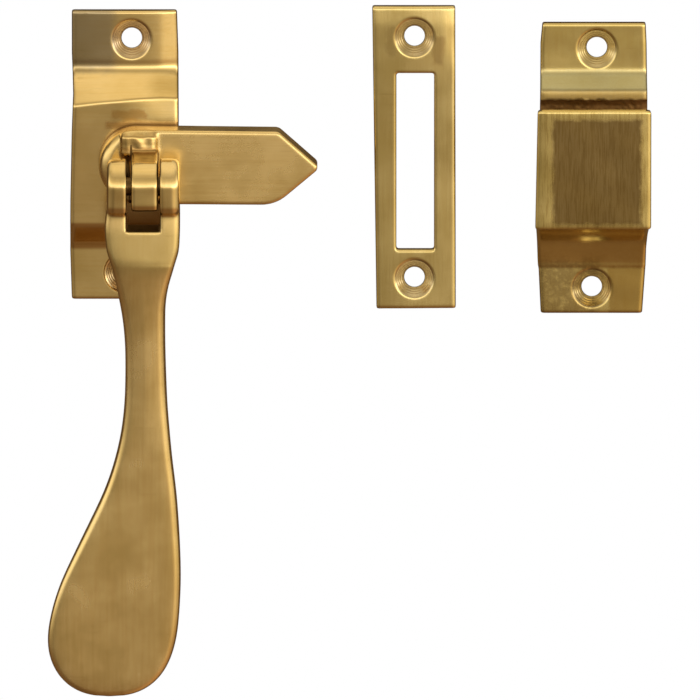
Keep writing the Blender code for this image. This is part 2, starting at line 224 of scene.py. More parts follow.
def outline_distance(a, b, points):
    """Signed distance to a closed outline over a[:, None], b[None, :], negative inside."""
    va, vb = a[:, None], b[None, :]
    nearest = np.full((len(a), len(b)), 1e12)
    inside = np.zeros((len(a), len(b)), bool)
    for (p0, q0), (p1, q1) in zip(points, points[1:] + points[:1]):
        e0, e1 = p1 - p0, q1 - q0
        length2 = e0 * e0 + e1 * e1
        if length2 < 1e-12:
            continue
        w0, w1 = va - p0, vb - q0
        t = np.clip((w0 * e0 + w1 * e1) / length2, 0, 1)
        nearest = np.minimum(nearest, (w0 - e0 * t) ** 2 + (w1 - e1 * t) ** 2)
        if e1 != 0:
            inside ^= ((q0 <= vb) != (q1 <= vb)) & (va < p0 + (vb - q0) * e0 / e1)
    return np.where(inside, -1.0, 1.0) * np.sqrt(nearest)


def arc(centre, radius, start, end, steps):
    angles = np.radians(np.linspace(start, end, steps + 1))
    return [
        (float(centre[0] + radius * math.cos(a)), float(centre[1] + radius * math.sin(a)))
        for a in angles
    ]


def rounded(corners, steps=12):
    """An outline with a fillet at each (a, b, radius) corner."""
    outline = []
    for i, (a, b, radius) in enumerate(corners):
        here = np.array((a, b), float)
        if radius == 0:
            outline.append((float(a), float(b)))
            continue
        before = np.array(corners[i - 1][:2]) - here
        after = np.array(corners[(i + 1) % len(corners)][:2]) - here
        before /= np.linalg.norm(before)
        after /= np.linalg.norm(after)
        half = math.acos(float(np.clip(np.dot(before, after), -1, 1))) / 2
        centre = here + (before + after) / np.linalg.norm(before + after) * radius / math.sin(half)
        first = here + before * radius / math.tan(half) - centre
        last = here + after * radius / math.tan(half) - centre
        turn = math.copysign(1, first[0] * last[1] - first[1] * last[0])
        for step in range(steps + 1):
            angle = turn * (math.pi - 2 * half) * step / steps
            c, s = math.cos(angle), math.sin(angle)
            outline.append(
                (
                    float(centre[0] + c * first[0] - s * first[1]),
                    float(centre[1] + s * first[0] + c * first[1]),
                )
            )
    return outline


def rectangle(span_a, span_b, radius):
    return rounded(
        [
            (span_a[0], span_b[0], radius),
            (span_a[1], span_b[0], radius),
            (span_a[1], span_b[1], radius),
            (span_a[0], span_b[1], radius),
        ]
    )


def ripple(grid, wavelength, seed, stretch=(1.0, 1.0, 1.0)):
    """Smooth unevenness between about -1 and 1, as a hand-finished casting has."""
    rng = np.random.default_rng(seed)
    total = 0.0
    for _ in range(6):
        direction = rng.normal(size=3)
        direction = direction / np.linalg.norm(direction) / np.array(stretch)
        scale = 2 * math.pi / (wavelength * rng.uniform(0.7, 1.5))
        phase = rng.uniform(0, 2 * math.pi)
        wave = sum(v * float(d) for v, d in zip(grid, direction))
        total = total + np.sin(wave * scale + phase)
    return total / 3.2


def grain(grid, size, seed):
    """Rough value noise for as-cast skin, with cells of this size."""
    rng = np.random.default_rng(seed)
    period = 32
    table = rng.uniform(-1, 1, (period, period, period))
    scaled = [v / size for v in grid]
    base = [np.floor(v).astype(int) for v in scaled]
    part = [v - b for v, b in zip(scaled, base)]
    part = [p * p * (3 - 2 * p) for p in part]
    total = 0.0
    for corner in CELL_CORNERS:
        weight = 1.0
        for p, d in zip(part, corner):
            weight = weight * (p if d else 1 - p)
        total = total + weight * table[tuple((b + d) % period for b, d in zip(base, corner))]
    return total


def buffed(field, sigma):
    """Softens every edge of a field on two or three axes a little, as buffing does."""
    reach = max(1, int(round(3 * sigma / STEP)))
    offsets = np.arange(-reach, reach + 1)
    weights = np.exp(-0.5 * (offsets * STEP / sigma) ** 2)
    weights /= weights.sum()
    for axis in range(field.ndim):
        field = sum(w * np.roll(field, int(o), axis) for w, o in zip(weights, offsets))
    return field


def true_scale(field):
    """Divides out the slope, so that values near the surface are distances."""
    slopes = np.gradient(field, STEP)
    size = np.sqrt(sum(s * s for s in slopes))
    return field / np.clip(size, 0.35, 4.0)


def eased_step(v, start, end):
    t = np.clip((v - start) / (end - start), 0, 1)
    return t * t * (3 - 2 * t)


def ramp_field(h, inward, top, hollow):
    """Distance above a tab and the ramp that rises from it; inward runs from the ramp's top edge."""
    u = inward + (top - TAB) / RAMP_SLOPE + hollow / 2
    rise = RAMP_SLOPE * np.where(u < hollow, np.clip(u, 0, None) ** 2 / (2 * hollow), u - hollow / 2)
    lean = RAMP_SLOPE * np.clip(u / hollow, 0, 1)
    return (h - TAB - rise) / np.sqrt(1 + lean**2)


def spindle_hole(grid):
    x, _, z = grid
    return np.sqrt(x**2 + z**2) - SPINDLE_R - RUNNING_GAP


def pin_hole(grid):
    _, h, z = grid
    return np.sqrt((h - PIN_H) ** 2 + (z - PIN_Z) ** 2) - PIN_R - RUNNING_GAP


def hollowed(body, axes, h, span_x, span_z, depth):
    """The body with a pocket sunk into its back."""
    outline = outline_distance(axes[0], axes[2], rectangle(span_x, span_z, POCKET_CORNER_R))
    pocket = smooth_max(outline[:, None, :], h - depth, POCKET_FLOOR_EDGE)
    return smooth_max(body, -pocket, POCKET_EDGE)


def screw_cut(grid, centre, face):
    """Distance to a screw's hole with its countersink, whose rim lies on the face."""
    x, h, z = grid
    away = np.sqrt((x - centre[0]) ** 2 + (z - centre[1]) ** 2)
    start = face - (SCREW_HEAD_R - SCREW_HOLE_R)
    cone = (away - SCREW_HOLE_R - (h - start)) * SCREW_CONE_SLANT
    head = np.maximum(cone, away - SCREW_HEAD_R - SCREW_HEAD_ROOM)
    return np.minimum(away - SCREW_HOLE_R, head)


def drilled(body, grid, centres, face):
    """The body with a countersunk screw hole at each centre."""
    for centre in centres:
        body = smooth_max(body, -screw_cut(grid, centre, face), HOLE_EDGE)
    return body


# ---------------------------------------------------------------- meshing
def interpolate(values, at):
    """Trilinear values at points given in grid steps."""
    top = np.array(values.shape) - 2
    base = np.clip(np.floor(at).astype(int), 0, top)
    part = at - base
    total = 0.0
    for corner in CELL_CORNERS:
        weight = 1.0
        for axis, d in enumerate(corner):
            weight = weight * (part[:, axis] if d else 1 - part[:, axis])
        total = total + weight * values[tuple((base + corner).T)]
    return total


def placed(name, data):
    obj = bpy.data.objects.new(name, data)
    bpy.context.scene.collection.objects.link(obj)
    return obj


def skin_of(name, field, axes):
    """A closed mesh on the zero surface of a field, with normals read from the field."""
    inside = field < 0
    shape = tuple(n - 1 for n in field.shape)
    corners = np.zeros(shape, np.int8)
    for corner in CELL_CORNERS:
        corners += inside[tuple(slice(d, n + d) for d, n in zip(corner, shape))]
    cells = np.argwhere((corners > 0) & (corners < len(CELL_CORNERS)))
    index = np.full(shape, -1, np.int64)
    index[tuple(cells.T)] = np.arange(len(cells))
    at = np.zeros((len(cells), 3))
    hits = np.zeros(len(cells))
    for axis in range(3):
        step = ALONG_AXIS[axis]
        others = [i for i in range(3) if i != axis]
        for b in (0, 1):
            for c in (0, 1):
                start = cells.copy()
                start[:, others[0]] += b
                start[:, others[1]] += c
                f0 = field[tuple(start.T)]
                f1 = field[tuple((start + step).T)]
                crossed = (f0 < 0) != (f1 < 0)
                point = start[crossed].astype(float)
                point[:, axis] += f0[crossed] / (f0[crossed] - f1[crossed])
                at[crossed] += point
                hits[crossed] += 1
    at /= hits[:, None]
    slopes = np.gradient(field, STEP)
    # slide the points onto the surface, a part of a grid step at a time
    for _ in range(3):
        value = interpolate(field, at)
        slope = np.stack([interpolate(s, at) for s in slopes], axis=1)
        size2 = np.maximum((slope**2).sum(axis=1), 0.05)
        move = -(value / size2)[:, None] * slope / STEP
        limit = np.maximum(np.linalg.norm(move, axis=1) / LONGEST_SLIDE, 1.0)
        at += move / limit[:, None]
    slope = np.stack([interpolate(s, at) for s in slopes], axis=1)
    normals = slope / np.maximum(np.linalg.norm(slope, axis=1), 1e-9)[:, None]
    quads = []
    for axis in range(3):
        lower = [slice(None)] * 3
        upper = [slice(None)] * 3
        lower[axis], upper[axis] = slice(0, -1), slice(1, None)
        points = np.argwhere(inside[tuple(lower)] != inside[tuple(upper)])
        e1, e2 = ALONG_AXIS[(axis + 1) % 3], ALONG_AXIS[(axis + 2) % 3]
        quad = np.stack(
            [index[tuple(p.T)] for p in (points, points - e1, points - e1 - e2, points - e2)],
            axis=1,
        )
        # the height axis runs against world Y, which turns every face round
        turned_round = inside[tuple(points.T)]
        quad[turned_round] = quad[turned_round][:, ::-1]
        quads.append(quad)
    quads = np.concatenate(quads)
    origin = np.array([a[0] for a in axes])
    world = (origin + at * STEP) * (MM, -MM, MM)
    mesh = bpy.data.meshes.new(name)
    mesh.from_pydata(world.tolist(), [], quads.tolist())
    for polygon in mesh.polygons:
        polygon.use_smooth = True
    mesh.normals_split_custom_set_from_vertices((normals * (1, -1, 1)).tolist())
    return placed(name, mesh)


def turned(name, axis, centre, profile, steps=72):
    """A closed profile of (radius, distance) points turned about Y (by height) or about X."""
    count = len(profile)
    points, faces = [], []
    for i in range(steps):
        angle = 2 * math.pi * i / steps
        c, s = math.cos(angle), math.sin(angle)
        for radius, along in profile:
            if axis == "Y":
                points.append((centre[0] + radius * c, -along, centre[1] + radius * s))
            else:
                points.append((along, -(centre[1] + radius * c), centre[0] + radius * s))
    for i in range(steps):
        for j in range(count - 1):
            a, b = i * count, (i + 1) % steps * count
            faces.append((a + j, a + j + 1, b + j + 1, b + j))
    mesh = bpy.data.meshes.new(name)
    mesh.from_pydata([tuple(v * MM for v in p) for p in points], [], faces)
    bm = bmesh.new()
    bm.from_mesh(mesh)
    bmesh.ops.remove_doubles(bm, verts=bm.verts, dist=1e-7)
    bmesh.ops.recalc_face_normals(bm, faces=bm.faces)
    bm.to_mesh(mesh)
    bm.free()
    for polygon in mesh.polygons:
        polygon.use_smooth = True
    mesh.set_sharp_from_angle(angle=math.radians(40))
    return placed(name, mesh)


# ---------------------------------------------------------------- pieces
def back_plate():
    axes = axes_for((BACK_X[0] - 0.4, 0, BACK_Z[0]), (BACK_X[1] + 0.3, PLATFORM, BACK_Z[1]))
    grid = x, h, z = spread(axes)
    low, high = PLATFORM_Z
    # the upper ramp meets the platform on a line that sags towards the left
    sag = 1.3 * np.clip((1.5 - x) / 15.0, 0, 1) ** 1.6 * np.clip((h - 5.0) / 4.0, 0, 1)
    upper = ramp_field(h, high - z - sag, PLATFORM, BACK_HOLLOW)
    lower = ramp_field(h, z - low, PLATFORM, BACK_HOLLOW)
    bow = 0.42 * (np.clip(x + 2.4, -11, 12) / 11.2) ** 2 * np.clip((z - 15.0) / 4.0, 0, 1)
    # the platform is dressed away towards its upper right corner
    dressed = 0.095 * np.logaddexp(0, (z - 8.6) / 0.5) * 0.5 * eased_step(x, -4.5, 6.5)
    top = h - PLATFORM + dressed
    front = smooth_max(np.maximum(upper, lower), top, np.where(z > 0, 0.35, 0.3))
    # the tab falls away at its right edge, and a faint groove runs along the foot of its ramp
    fall = 0.08 * np.logaddexp(0, (x - 5.6) / 0.5) * eased_step(z, 13.0, 16.0)
    foot = high + (PLATFORM - TAB) / RAMP_SLOPE + BACK_HOLLOW / 2
    groove = 0.06 * np.exp(-(((z + sag - foot - 0.5) / 0.6) ** 2))
    front = front + bow + fall + groove + 0.020 * ripple(grid, 9.0, 3)
    sides = np.maximum(edge_at(axes[2], BACK_LEFT_EDGE) - x, x - edge_at(axes[2], BACK_RIGHT_EDGE))
    body = smooth_max(smooth_max(front, sides, SIDE_EDGE), slab(z, *BACK_Z), END_EDGE)
    body = smooth_max(body, -h, SEAT_EDGE)
    body = hollowed(body, axes, h, POCKET_X, POCKET_Z, POCKET_DEPTH)
    body = smooth_max(body, -spindle_hole(grid), HOLE_EDGE)
    body = drilled(body, grid, BACK_HOLES, TAB)
    return skin_of("back_plate_detail", buffed(body, BACK_BUFFING), axes)


def tongue():
    axes = axes_for((-TONGUE_HALF, TONGUE_BACK, -9.5), (39.0, PIN_H + KNUCKLE_R, TONGUE_HALF))
    grid = x, h, _ = spread(axes)
    outline = arc((0, 0), TONGUE_HALF, 90, 270, 48)
    outline += rounded(
        [
            (0.0, -TONGUE_HALF, 0),
            TONGUE_LOW_CORNER,
            TONGUE_TIP,
            TONGUE_TOP_CORNER,
            (0.0, TONGUE_HALF, 0),
        ]
    )[1:-1]
    flat = outline_distance(axes[0], axes[2], outline)[:, None, :]
    front = h - TONGUE_FRONT + 0.010 * ripple(grid, 14.0, 5)
    # the round end by the hinge is worn much softer than the blade
    bar = smooth_max(flat, front, 0.6 + 2.6 * np.clip((-x - 1.5) / 4.5, 0, 1))
    bar = smooth_max(bar, TONGUE_BACK - h, 0.4)
    top_angle = math.degrees(math.asin((HUMP_TOP - PIN_H) / HUMP_CLEAR_R))
    low_angle = math.degrees(math.asin((LUG_ROOT - PIN_H) / HUMP_CLEAR_R))
    hump = [(LUG_ROOT, TONGUE_HALF - 0.2), (TONGUE_FRONT + 0.2, TONGUE_HALF - 0.2)]
    hump += [(TONGUE_FRONT + 1.1, TONGUE_HALF - 1.3), (HUMP_TOP - 0.3, TONGUE_HALF - 3.0)]
    hump += [(b, a) for a, b in arc((PIN_Z, PIN_H), HUMP_CLEAR_R, top_angle, low_angle, 12)]
    lug = outline_distance(axes[1], axes[2], hump)[None, :, :]
    lug = lug + 0.13 * ripple(grid, 3.0, 11)
    lug = smooth_max(lug, slab(x, *HUMP_X), 1.5)
    knuckle = [(LUG_ROOT, PIN_Z + KNUCKLE_R + 1.6)]
    knuckle += [(b, a) for a, b in arc((PIN_Z, PIN_H), KNUCKLE_R, 0, 84, 28)]
    low_corner = (KNUCKLE_LOW_Z + KNUCKLE_CORNER_R, KNUCKLE_FRONT - KNUCKLE_CORNER_R)
    knuckle += [(b, a) for a, b in arc(low_corner, KNUCKLE_CORNER_R, 90, 180, 14)]
    knuckle += [(TONGUE_FRONT + 1.2, KNUCKLE_LOW_Z), (LUG_ROOT, KNUCKLE_LOW_Z + 0.8)]
    knuckle = outline_distance(axes[1], axes[2], knuckle)[None, :, :]
    knuckle = knuckle + 0.035 * ripple(grid, 4.5, 17)
    knuckle = smooth_max(knuckle, slab(x, *KNUCKLE_X), 0.6)
    body = smooth_min(bar, lug, 0.5)
    body = smooth_min(body, knuckle, 0.5)
    socket = np.maximum(spindle_hole(grid), h - TONGUE_BACK - SOCKET_DEPTH - 0.3)
    body = smooth_max(body, -socket, HOLE_EDGE)
    body = smooth_max(body, -pin_hole(grid), HOLE_EDGE)
    return skin_of("tongue_detail", buffed(body, TONGUE_BUFFING), axes)


def station_curves(distance):
    """Station values on a curve with continuous slope that doesn't overshoot."""
    table = np.array(HANDLE_STATIONS)
    at, values = table[:, 0], table[:, 1:]
    steps = np.diff(at)[:, None]
    slopes = np.diff(values, axis=0) / steps
    product = slopes[:-1] * slopes[1:]
    total = slopes[:-1] + slopes[1:]
    mean = np.where(product > 0, 2 * product / np.where(total == 0, 1, total), 0.0)
    tangents = np.vstack([slopes[:1], mean, slopes[-1:]])
    i = np.clip(np.searchsorted(at, distance) - 1, 0, len(at) - 2)
    t = ((distance - at[i]) / steps[i, 0])[:, None]
    t = np.clip(t, 0, 1)
    step = steps[i]
    return (
        (2 * t**3 - 3 * t**2 + 1) * values[i]
        + (t**3 - 2 * t**2 + t) * step * tangents[i]
        + (3 * t**2 - 2 * t**3) * values[i + 1]
        + (t**3 - t**2) * step * tangents[i + 1]
    )


def eased(values, at, sigma):
    """Evens out a curve along the handle."""
    reach = int(3 * sigma / (at[1] - at[0]))
    weights = np.exp(-0.5 * (np.arange(-reach, reach + 1) * (at[1] - at[0]) / sigma) ** 2)
    weights /= weights.sum()
    padded = np.pad(values, ((reach, reach), (0, 0)), mode="reflect", reflect_type="odd")
    return np.stack(
        [np.convolve(padded[:, i], weights, "valid") for i in range(values.shape[1])], axis=1
    )


def handle():
    low_z = PIN_Z - HANDLE_LENGTH
    axes = axes_for((-19.0, PIN_H - FORK_R, low_z), (9.5, PIN_H + FORK_R, PIN_Z + FORK_R))
    grid = x, h, _ = spread(axes)
    along = np.arange(2.5, HANDLE_LENGTH + 0.01, 0.2)
    curves = station_curves(along)
    smoother = eased(curves, along, 2.2)
    share = np.clip((along - 14.0) / 8.0, 0, 1)[:, None]
    curves = curves * (1 - share) + smoother * share
    shrink = np.clip((along - SPOON_ROUND_FROM) / (HANDLE_LENGTH - SPOON_ROUND_FROM), 0, 1)
    shrink = (1 - shrink**SPOON_ROUNDNESS) ** (1 / SPOON_ROUNDNESS)
    reach = curves[:, 1] * shrink
    left = np.stack([curves[:, 0] - reach, PIN_Z - along], axis=1).tolist()
    right = np.stack([curves[:, 0] + reach, PIN_Z - along], axis=1).tolist()
    outline = outline_distance(axes[0], axes[2], left + right[::-1])[:, None, :]
    below = PIN_Z - axes[2]
    front = np.interp(below, along, curves[:, 2])[None, None, :]
    back = np.interp(below, along, curves[:, 3])[None, None, :]
    depth = below[None, None, :]
    # above its ridge, which runs lower on the right, the shoulder leans back a little
    lean = SHOULDER_FRONT + SHOULDER_LEAN * (depth - SHOULDER_FROM) - RIDGE_SLANT * (x - 0.5)
    front = np.where(depth < RIDGE_FROM, RIDGE_FRONT, front)
    front = smooth_min(front, lean + np.maximum(depth - 16, 0), 0.10)
    neck = np.exp(-(((depth - NECK_AT) / NECK_SPAN) ** 2))
    crown_size, crown_reach = 0.22 + 0.16 * neck, 1.5 + 0.9 * neck
    crown = crown_size * (1 - np.exp(np.minimum(outline, 0.0) / crown_reach))
    middle, half = (front + back) / 2, (front - back) / 2
    half = half - crown_size + crown + 0.010 * ripple(grid, 16.0, 23)
    thick = np.abs(h - middle) - half
    edge = np.minimum(0.9 + 0.5 * np.clip((depth - 16) / 10, 0, 1), half * 0.8)
    q0, q1 = outline + edge, thick + edge
    blade = np.minimum(np.maximum(q0, q1), 0) + np.hypot(np.maximum(q0, 0), np.maximum(q1, 0)) - edge
    blade = true_scale(blade)
    cheek = [(b, a) for a, b in arc((PIN_Z, PIN_H), FORK_R, -120, 84, 60)]
    low_corner = (CHEEK_LOW_Z + CHEEK_CORNER_R, CHEEK_FRONT - CHEEK_CORNER_R)
    cheek += [(b, a) for a, b in arc(low_corner, CHEEK_CORNER_R, 90, 180, 16)]
    cheek += [(PIN_H, CHEEK_LOW_Z)]
    cheek = outline_distance(axes[1], axes[2], cheek)[None, :, :] + 0.03 * ripple(grid, 6.0, 29)
    barrel = smooth_max(cheek, slab(x, *FORK_X), 1.7)
    body = smooth_min(blade, barrel, 0.12)
    slot_outline = rounded(
        [
            (SLOT_X[0], PIN_Z - SLOT_DEPTH, 0.5),
            (SLOT_X[1], PIN_Z - SLOT_DEPTH, 0.5),
            (SLOT_X[1], PIN_Z + FORK_R + 6, 0),
            (SLOT_X[0], PIN_Z + FORK_R + 6, 0),
        ]
    )
    slot = outline_distance(axes[0], axes[2], slot_outline)[:, None, :]
    body = smooth_max(body, -slot, SLOT_EDGE)
    body = smooth_max(body, -pin_hole(grid), HOLE_EDGE)
    return skin_of("handle_detail", buffed(body, HANDLE_BUFFING), axes)


def mortice_plate():
    left, right = MORTICE_CORNERS[3][0], MORTICE_CORNERS[1][0]
    low, high = MORTICE_CORNERS[0][1], MORTICE_CORNERS[2][1]
    axes = axes_for((left, 0, low), (right, MORTICE_T, high))
    grid = x, h, z = spread(axes)
    corners = rounded([(a, b, 0.35) for a, b in MORTICE_CORNERS])
    flat = outline_distance(axes[0], axes[2], corners)[:, None, :]
    bow = 0.09 * ((x - (left + right) / 2) / 8.6) ** 2
    # the ends are rubbed down a little, most of all at the upper right corner
    bow = bow + 0.06 * np.logaddexp(0, (z - 28.0) / 0.5) * 0.5
    bow = bow + 0.10 * np.logaddexp(0, (x - 64.6) / 0.4) * 0.4 * eased_step(z, 18.0, 26.0)
    front = h - MORTICE_T + bow + 0.03 * ripple(grid, 14.0, 31)
    body = smooth_max(smooth_max(flat, front, 0.55), -h, SEAT_EDGE)
    slot = outline_distance(axes[0], axes[2], rectangle(MORTICE_SLOT_X, MORTICE_SLOT_Z, 0.4))
    body = smooth_max(body, -slot[:, None, :], SLOT_EDGE)
    body = drilled(body, grid, MORTICE_HOLES, MORTICE_T)
    return skin_of("mortice_plate_detail", buffed(body, PLATE_BUFFING), axes)


def hook_plate():
    axes = axes_for((HOOK_TAB_X[0] - 1.2, 0, HOOK_Z[0]), (HOOK_TAB_X[1] + 1.2, HOOK_ROOF, HOOK_Z[1]))
    grid = x, h, z = spread(axes)
    left, right = edge_at(axes[2], HOOK_LEFT_EDGE), edge_at(axes[2], HOOK_RIGHT_EDGE)
    sides = np.maximum(left - x, x - right)
    # the outline runs past both ends, and is trimmed to HOOK_Z afterwards
    top, bottom = HOOK_Z[1] + 5, HOOK_Z[0] - 5
    base = [(-5.0, bottom), (-5.0, top), (TAB, top)]
    length = (HOOK_CREST - TAB) / RAMP_SLOPE + HOOK_HOLLOW / 2
    for u in np.linspace(0, HOOK_HOLLOW, 13):
        rise = RAMP_SLOPE * u * u / (2 * HOOK_HOLLOW)
        base.append((float(TAB + rise), float(HOOK_RAMP_Z + length - u)))
    base += [
        (HOOK_CREST, HOOK_RAMP_Z),
        (HOOK_CREST, HOOK_CREST_Z),
        (HOOK_FLOOR, HOOK_CREST_Z - 0.8),
        (HOOK_FLOOR, HOOK_WALL_Z - 1.5),
        (TAB, HOOK_WALL_Z - 1.5),
        (TAB, bottom),
    ]
    plate = outline_distance(axes[1], axes[2], base)
    mask = eased_step(axes[2], 12.9, 14.0)[None, :]
    plate = plate * (1 - mask) + buffed(plate, 0.45) * mask
    plate = plate[None, :, :] + 0.025 * ripple(grid, 8.0, 53)
    # the floor and the edge of the crest are left as they were cast
    rough = np.clip((h - 5.0) / 0.8, 0, 1) * np.clip((HOOK_CREST_Z + 0.25 - z) / 0.35, 0, 1)
    rough = rough * np.clip((13.0 - h) / 1.0, 0, 1)
    plate = plate + rough * (0.20 * grain(grid, 0.6, 41) + 0.16 * grain(grid, 1.6, 43) + 0.10)
    plate = smooth_max(plate, sides, SIDE_EDGE)
    low, high = HOOK_ROOF_Z
    hook = [(HOOK_ROOF_UNDER, high), (HOOK_ROOF, high), (HOOK_ROOF, low)]
    for i in range(1, 24):
        angle = math.radians(3.75 * i)
        hook.append(
            (
                HOOK_ROOF - (HOOK_ROOF - TAB) * math.sin(angle),
                HOOK_RAMP_END_Z + (low - HOOK_RAMP_END_Z) * math.cos(angle),
            )
        )
    hook += [(TAB - 0.8, HOOK_RAMP_END_Z + 0.2), (TAB - 0.8, HOOK_WALL_Z)]
    hook += [(HOOK_ROOF_UNDER - 1.2, HOOK_WALL_Z), (HOOK_ROOF_UNDER, HOOK_WALL_Z + 1.2)]
    roof = outline_distance(axes[1], axes[2], hook)[None, :, :] + 0.02 * ripple(grid, 9.0, 47)
    flare = np.clip((h - TAB) / (HOOK_ROOF - TAB), 0, 1)
    block = np.maximum(left - 0.2 - 0.45 * flare - x, x - right - 0.75 * flare)
    # the roof is dressed flat in the middle and buffed away towards its rim
    rim = np.minimum(-block, np.minimum(high + 1.2 - z, z - low + 0.6))
    roof = roof + 0.10 * np.clip(1 - rim / 2.4, 0, 1) ** 1.5 * np.clip(h - HOOK_ROOF_UNDER, 0, 1)
    roof = smooth_max(roof, block, 0.5)
    body = smooth_max(smooth_min(plate, roof, 0.25), slab(z, *HOOK_Z), END_EDGE)
    pocket_x = (HOOK_TAB_X[0] + HOOK_POCKET_INSET, HOOK_TAB_X[1] - HOOK_POCKET_INSET)
    body = hollowed(body, axes, h, pocket_x, HOOK_POCKET_Z, HOOK_POCKET_DEPTH)
    body = smooth_max(body, -h, SEAT_EDGE)
    body = drilled(body, grid, HOOK_HOLES, TAB)
    return skin_of("hook_plate_detail", buffed(body, PLATE_BUFFING), axes)


def knuckle_pin():
    low, high = FORK_X[0] + PIN_INSET, FORK_X[1] - PIN_INSET
    profile = [(0.0, low), (1.2, low + 0.02), (1.75, low + 0.1), (PIN_R, low + 0.35)]
    profile += [(PIN_R, high - 0.35), (1.75, high - 0.1), (1.2, high - 0.02), (0.0, high)]
    return turned("knuckle_pin_detail", "X", (PIN_Z, PIN_H), profile)


def pivot_spindle():
    shoulder = POCKET_DEPTH - 0.2
    peened = shoulder - 2.4
    profile = [
        (0.0, peened - 1.2),
        (1.2, peened - 1.18),
        (2.2, peened - 1.1),
        (3.1, peened - 0.92),
        (3.8, peened - 0.68),
        (4.3, peened - 0.38),
        (4.5, peened - 0.12),
        (4.42, peened),
        (SPINDLE_NECK_R, peened + 0.05),
        (SPINDLE_NECK_R, shoulder),
        (SPINDLE_R - 0.3, shoulder + 0.02),
        (SPINDLE_R, shoulder + 0.32),
        (SPINDLE_R, TONGUE_BACK + SOCKET_DEPTH - 0.4),
        (SPINDLE_R - 0.4, TONGUE_BACK + SOCKET_DEPTH),
        (0.0, TONGUE_BACK + SOCKET_DEPTH),
    ]
    return turned("pivot_spindle_detail", "Y", (0, 0), profile)


def ring_section(inner, outer, low, high, ease):
    return [
        (inner, low + ease),
        (inner + ease, low),
        (outer - ease, low),
        (outer, low + ease),
        (outer, high - ease),
        (outer - ease, high),
        (inner + ease, high),
        (inner, high - ease),
        (inner, low + ease),
    ]


def retaining_washer():
    top = POCKET_DEPTH - 1.35
    section = ring_section(SPINDLE_NECK_R + 0.15, WASHER_R, top - 1.0, top, 0.12)
    return turned("retaining_washer_detail", "Y", (0, 0), section)


def spring_washer():
    middle = POCKET_DEPTH - 0.75
    section = ring_section(SPINDLE_NECK_R + 0.3, WASHER_R - 0.4, middle - 0.2, middle + 0.2, 0.06)
    ring = turned("spring_washer_detail", "Y", (0, 0), section, 120)
    for vertex in ring.data.vertices:
        angle = math.atan2(vertex.co.z, vertex.co.x)
        vertex.co.y -= WAVE_HEIGHT * MM * math.cos(WAVES * angle)
    return ring


# ---------------------------------------------------------------- materials
def add(tree, kind, **settings):
    node = tree.nodes.new(kind)
    for key, value in settings.items():
        if key in node.inputs:
            node.inputs[key].default_value = value
        else:
            setattr(node, key, value)
    return node


def eased_range(tree, value, start, end, low=0.0, high=1.0):
    node = add(tree, "ShaderNodeMapRange", interpolation_type="SMOOTHSTEP")
    node.inputs["From Min"].default_value = start
    node.inputs["From Max"].default_value = end
    node.inputs["To Min"].default_value = low
    node.inputs["To Max"].default_value = high
    tree.links.new(value, node.inputs["Value"])
    return node.outputs["Result"]


def calculate(tree, operation, a, b):
    node = add(tree, "ShaderNodeMath", operation=operation)
    for socket, value in zip(node.inputs, (a, b)):
        if isinstance(value, float):
            socket.default_value = value
        else:
            tree.links.new(value, socket)
    return node.outputs["Value"]


def toned(tree, colour, tone, mask):
    node = add(tree, "ShaderNodeMix", data_type="RGBA", blend_type="MULTIPLY")
    node.inputs["B"].default_value = tuple(tone) + (1.0,)
    tree.links.new(mask, node.inputs["Factor"])
    tree.links.new(colour, node.inputs["A"])
    return node.outputs["Result"]


def blended(tree, value, target, mask):
    """A value that goes over to a target where the mask is 1."""
    change = calculate(tree, "SUBTRACT", target, value)
    return calculate(tree, "ADD", value, calculate(tree, "MULTIPLY", change, mask))


def box_mask(tree, split, noise, spans, soft, wobble):
    """1 inside a box given in millimetres on (x, height, z), with wandering soft edges."""
    shift = calculate(tree, "MULTIPLY", calculate(tree, "SUBTRACT", noise, 0.5), wobble * MM)
    mask = None
    for name, span, sign in (("X", spans[0], 1), ("Y", spans[1], -1), ("Z", spans[2], 1)):
        if span is None:
            continue
        low, high = sorted(sign * v * MM for v in span)
        moved = calculate(tree, "ADD", split.outputs[name], shift)
        for start, way in ((low, 1), (high, -1)):
            reach = way * soft * MM
            edge = eased_range(tree, moved, start - reach, start + reach)
            mask = edge if mask is None else calculate(tree, "MULTIPLY", mask, edge)
    return mask


def hole_distance(tree, split, centre):
    flat = add(tree, "ShaderNodeCombineXYZ")
    tree.links.new(split.outputs["X"], flat.inputs["X"])
    tree.links.new(split.outputs["Z"], flat.inputs["Y"])
    away = add(tree, "ShaderNodeVectorMath", operation="DISTANCE")
    away.inputs[1].default_value = (centre[0] * MM, centre[1] * MM, 0.0)
    tree.links.new(flat.outputs["Vector"], away.inputs[0])
    return away.outputs["Value"]


def noise_of(tree, vector, scale, detail, roughness=0.55):
    node = add(tree, "ShaderNodeTexNoise", Scale=scale, Detail=detail, Roughness=roughness)
    tree.links.new(vector, node.inputs["Vector"])
    return node.outputs["Fac"]


# cells per metre of the noises that every brass shares
CLOUD_SCALE, MOTTLE_SCALE, FINE_SCALE = 95.0, 420.0, 1500.0
SCRATCH_TURN = (0.5, 0.62, 0.3)
SCRATCH_SCALE = (90.0, 3200.0, 3200.0)
# radians per metre, so that the turning marks are about 0.4 mm apart
RING_WAVES = 15000.0
DARKER, PALER = (0.91, 0.88, 0.80), (1.03, 1.04, 1.10)
SCRATCH_TONE = (0.90, 0.88, 0.84)
DRESSED_TONE = (0.82, 0.80, 0.76)
COUNTERSINK_TONE, COUNTERSINK_ROUGHNESS = (0.74, 0.77, 1.02), 0.20
HOLLOWS_TONE = (0.42, 0.30, 0.22)


